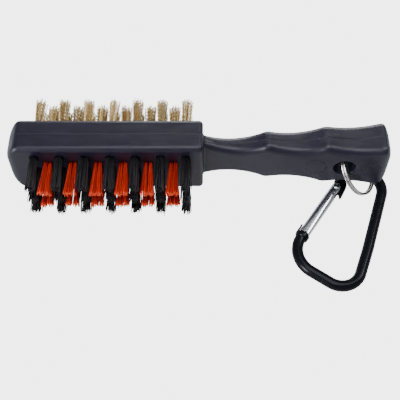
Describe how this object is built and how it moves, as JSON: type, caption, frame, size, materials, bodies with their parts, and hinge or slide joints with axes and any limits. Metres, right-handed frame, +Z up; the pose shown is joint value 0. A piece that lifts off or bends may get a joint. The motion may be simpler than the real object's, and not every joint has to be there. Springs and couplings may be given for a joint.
{
  "type": "club groove brush",
  "caption": "Two-sided groove cleaning brush with nylon tufts, brass tufts, a scalloped tapered handle, a split ring through the handle and a spring-gate carabiner.",
  "frame": {"origin": "centre of the bounding box's base, on the surface the brush lies on", "axes": "+X from the head to the handle, +Y the way the brass tufts point, +Z up"},
  "size_m": [0.1856, 0.0886, 0.0373],
  "materials": {
    "charcoal_plastic": "fine satin moulding",
    "black_nylon": "satin filament",
    "orange_nylon": "satin filament",
    "brass_wire": "crimped drawn wire",
    "ring_steel": "nickel plated",
    "black_anodised": "glossy black anodised",
    "bright_aluminium": "polished"
  },
  "bodies": {
    "brush": {"brass_tufts_01": "brass_wire", "brass_tufts_02": "brass_wire", "brass_tufts_03": "brass_wire", "brass_tufts_04": "brass_wire", "brass_tufts_05": "brass_wire", "brass_tufts_06": "brass_wire", "brass_tufts_07": "brass_wire", "brass_tufts_08": "brass_wire", "brass_tufts_09": "brass_wire", "brass_tufts_10": "brass_wire", "brass_tufts_11": "brass_wire", "brass_tufts_12": "brass_wire", "brass_tufts_13": "brass_wire", "brush_body": "charcoal_plastic", "nylon_tuft_black_01_1": "black_nylon", "nylon_tuft_black_01_3": "black_nylon", "nylon_tuft_black_01_5": "black_nylon", "nylon_tuft_black_03_1": "black_nylon", "nylon_tuft_black_03_3": "black_nylon", "nylon_tuft_black_03_5": "black_nylon", "nylon_tuft_black_05_1": "black_nylon", "nylon_tuft_black_05_3": "black_nylon", "nylon_tuft_black_05_5": "black_nylon", "nylon_tuft_black_07_1": "black_nylon", "nylon_tuft_black_07_3": "black_nylon", "nylon_tuft_black_07_5": "black_nylon", "nylon_tuft_black_09_1": "black_nylon", "nylon_tuft_black_09_3": "black_nylon", "nylon_tuft_black_09_5": "black_nylon", "nylon_tuft_black_11_1": "black_nylon", "nylon_tuft_black_11_3": "black_nylon", "nylon_tuft_black_11_5": "black_nylon", "nylon_tuft_black_13_1": "black_nylon", "nylon_tuft_black_13_3": "black_nylon", "nylon_tuft_black_13_5": "black_nylon", "nylon_tuft_orange_02_2": "orange_nylon", "nylon_tuft_orange_02_4": "orange_nylon", "nylon_tuft_orange_04_2": "orange_nylon", "nylon_tuft_orange_04_4": "orange_nylon", "nylon_tuft_orange_06_2": "orange_nylon", "nylon_tuft_orange_06_4": "orange_nylon", "nylon_tuft_orange_08_2": "orange_nylon", "nylon_tuft_orange_08_4": "orange_nylon", "nylon_tuft_orange_10_2": "orange_nylon", "nylon_tuft_orange_10_4": "orange_nylon", "nylon_tuft_orange_12_2": "orange_nylon", "nylon_tuft_orange_12_4": "orange_nylon"},
    "ring": {"split_ring": "ring_steel"},
    "carabiner": {"carabiner_bar": "black_anodised"},
    "gate": {"gate": "bright_aluminium", "gate_plunger": "ring_steel", "gate_rivet": "ring_steel", "gate_spring": "ring_steel"}
  },
  "joints": [
    {"name": "ring_swing", "type": "hinge", "parent": "brush", "child": "ring", "pos_m": [0.06819, 0.01929, 0.02229], "axis": [0, 1, 0], "range_deg": [-2, 15]},
    {"name": "carabiner_turn", "type": "hinge", "parent": "ring", "child": "carabiner", "pos_m": [0.08404, 0.02066, 0.00509], "axis": [0, -0.0384, 0.9993], "range_deg": [-4, 20]},
    {"name": "gate_open", "type": "hinge", "parent": "carabiner", "child": "gate", "pos_m": [0.06729, 0.01118, 0.00473], "axis": [0, -0.0384, 0.9993], "range_deg": [0, 48], "stiffness_Nm_per_rad": 0.05, "springref_deg": -20.05}
  ]
}
